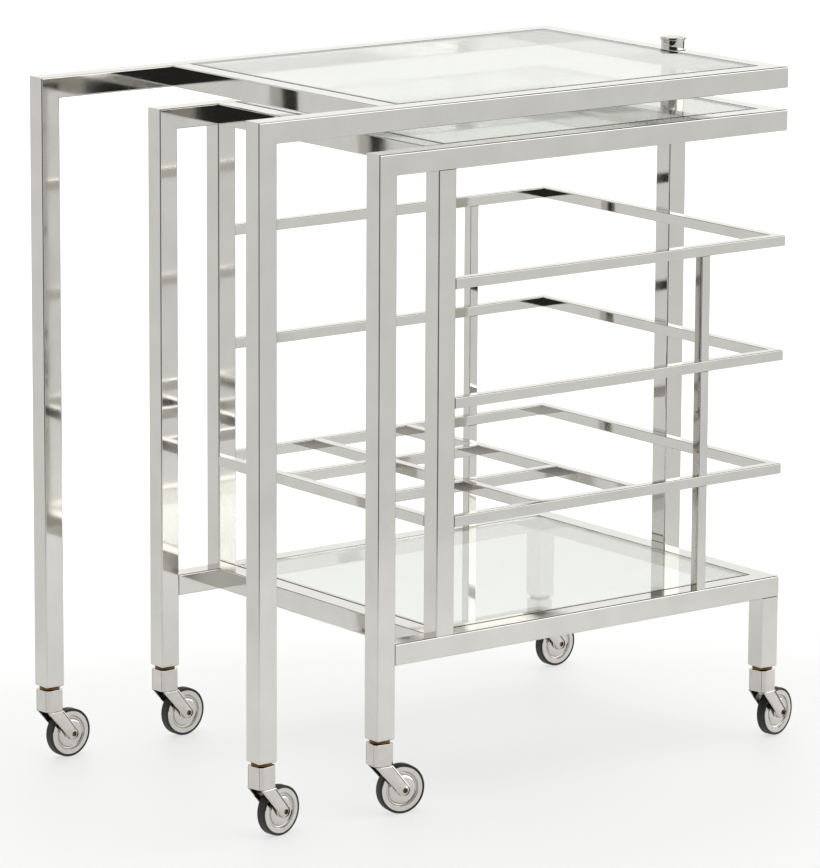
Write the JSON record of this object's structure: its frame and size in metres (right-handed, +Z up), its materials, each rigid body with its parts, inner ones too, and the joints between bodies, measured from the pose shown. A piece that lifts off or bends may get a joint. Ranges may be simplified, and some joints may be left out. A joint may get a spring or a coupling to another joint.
{
  "type": "bar cart",
  "caption": "Wheeled bar cart of chromed square tube with glass panes, gallery rails, a bottle divider and a swing-out glass top on its own castered legs.",
  "frame": {"origin": "on the floor, under the middle of the cart", "axes": "+X along the cart towards the pivot post, +Y from the front to the rear, +Z up"},
  "size_m": [0.8127, 0.4594, 0.8265],
  "materials": {
    "chrome_tube": "bright chrome plating on square steel tube",
    "caster_chrome": "bright chrome plating on pressed and cast caster parts",
    "clear_glass": "polished clear float glass with a faint grey-green body",
    "bearing_brass": "turned brass, dulled",
    "plain_steel": "turned steel",
    "black_rubber": "smooth black rubber"
  },
  "bodies": {
    "cart": {"deck_rails": "chrome_tube", "deck_end_bar": "chrome_tube", "deck_crossbar": "chrome_tube", "deck_glass_ledge": "chrome_tube", "deck_glass": "clear_glass", "outer_legs": "chrome_tube", "inner_posts": "chrome_tube", "base_rails": "chrome_tube", "base_end_bar": "chrome_tube", "base_crossbar": "chrome_tube", "base_glass_ledge": "chrome_tube", "base_glass": "clear_glass", "short_legs": "chrome_tube", "cart_leg_plugs": "chrome_tube", "cart_caster_stems": "plain_steel", "cart_caster_races": "bearing_brass", "pivot_post": "chrome_tube", "pivot_pin": "plain_steel", "pivot_washer": "bearing_brass", "upper_gallery": "chrome_tube", "middle_gallery": "chrome_tube", "lower_gallery": "chrome_tube", "gallery_posts": "chrome_tube", "bottle_divider": "chrome_tube"},
    "swing_top": {"top_rails": "chrome_tube", "top_end_bar": "chrome_tube", "top_crossbar": "chrome_tube", "top_legs": "chrome_tube", "top_glass_ledge": "chrome_tube", "top_glass": "clear_glass", "top_leg_plugs": "chrome_tube", "top_caster_stems": "plain_steel", "top_caster_races": "bearing_brass", "pivot_sleeve": "chrome_tube", "pivot_bushings": "bearing_brass", "pivot_cap": "chrome_tube"},
    "fork_top_front": {"fork_top_front": "caster_chrome", "axle_top_front": "bearing_brass"},
    "wheel_top_front": {"wheel_top_front": "caster_chrome", "tyre_top_front": "black_rubber"},
    "fork_top_rear": {"fork_top_rear": "caster_chrome", "axle_top_rear": "bearing_brass"},
    "wheel_top_rear": {"wheel_top_rear": "caster_chrome", "tyre_top_rear": "black_rubber"},
    "fork_deck_front": {"fork_deck_front": "caster_chrome", "axle_deck_front": "bearing_brass"},
    "wheel_deck_front": {"wheel_deck_front": "caster_chrome", "tyre_deck_front": "black_rubber"},
    "fork_deck_rear": {"fork_deck_rear": "caster_chrome", "axle_deck_rear": "bearing_brass"},
    "wheel_deck_rear": {"wheel_deck_rear": "caster_chrome", "tyre_deck_rear": "black_rubber"},
    "fork_end_front": {"fork_end_front": "caster_chrome", "axle_end_front": "bearing_brass"},
    "wheel_end_front": {"wheel_end_front": "caster_chrome", "tyre_end_front": "black_rubber"},
    "fork_end_rear": {"fork_end_rear": "caster_chrome", "axle_end_rear": "bearing_brass"},
    "wheel_end_rear": {"wheel_end_rear": "caster_chrome", "tyre_end_rear": "black_rubber"}
  },
  "joints": [
    {"name": "top_swing", "type": "hinge", "parent": "cart", "child": "swing_top", "pos_m": [0.37505, 0, 0.816], "axis": [0, 0, 1], "continuous": true},
    {"name": "swivel_top_front", "type": "hinge", "parent": "swing_top", "child": "fork_top_front", "pos_m": [-0.39295, -0.2133, 0.09], "axis": [0, 0, 1], "continuous": true},
    {"name": "roll_top_front", "type": "hinge", "parent": "fork_top_front", "child": "wheel_top_front", "pos_m": [-0.36636, -0.20861, 0.029], "axis": [-0.1736, 0.9848, 0], "continuous": true},
    {"name": "swivel_top_rear", "type": "hinge", "parent": "swing_top", "child": "fork_top_rear", "pos_m": [-0.39295, 0.2133, 0.09], "axis": [0, 0, 1], "continuous": true},
    {"name": "roll_top_rear", "type": "hinge", "parent": "fork_top_rear", "child": "wheel_top_rear", "pos_m": [-0.36602, 0.21518, 0.029], "axis": [-0.0698, 0.9976, 0], "continuous": true},
    {"name": "swivel_deck_front", "type": "hinge", "parent": "cart", "child": "fork_deck_front", "pos_m": [-0.22695, -0.2133, 0.09], "axis": [0, 0, 1], "continuous": true},
    {"name": "roll_deck_front", "type": "hinge", "parent": "fork_deck_front", "child": "wheel_deck_front", "pos_m": [-0.20028, -0.21752, 0.029], "axis": [0.1564, 0.9877, 0], "continuous": true},
    {"name": "swivel_deck_rear", "type": "hinge", "parent": "cart", "child": "fork_deck_rear", "pos_m": [-0.22695, 0.2133, 0.09], "axis": [0, 0, 1], "continuous": true},
    {"name": "roll_deck_rear", "type": "hinge", "parent": "fork_deck_rear", "child": "wheel_deck_rear", "pos_m": [-0.20002, 0.21518, 0.029], "axis": [-0.0698, 0.9976, 0], "continuous": true},
    {"name": "swivel_end_front", "type": "hinge", "parent": "cart", "child": "fork_end_front", "pos_m": [0.34965, -0.2133, 0.09], "axis": [0, 0, 1], "continuous": true},
    {"name": "roll_end_front", "type": "hinge", "parent": "fork_end_front", "child": "wheel_end_front", "pos_m": [0.37596, -0.20723, 0.029], "axis": [-0.225, 0.9744, 0], "continuous": true},
    {"name": "swivel_end_rear", "type": "hinge", "parent": "cart", "child": "fork_end_rear", "pos_m": [0.34965, 0.2133, 0.09], "axis": [0, 0, 1], "continuous": true},
    {"name": "roll_end_rear", "type": "hinge", "parent": "fork_end_rear", "child": "wheel_end_rear", "pos_m": [0.37658, 0.21518, 0.029], "axis": [-0.0698, 0.9976, 0], "continuous": true}
  ]
}
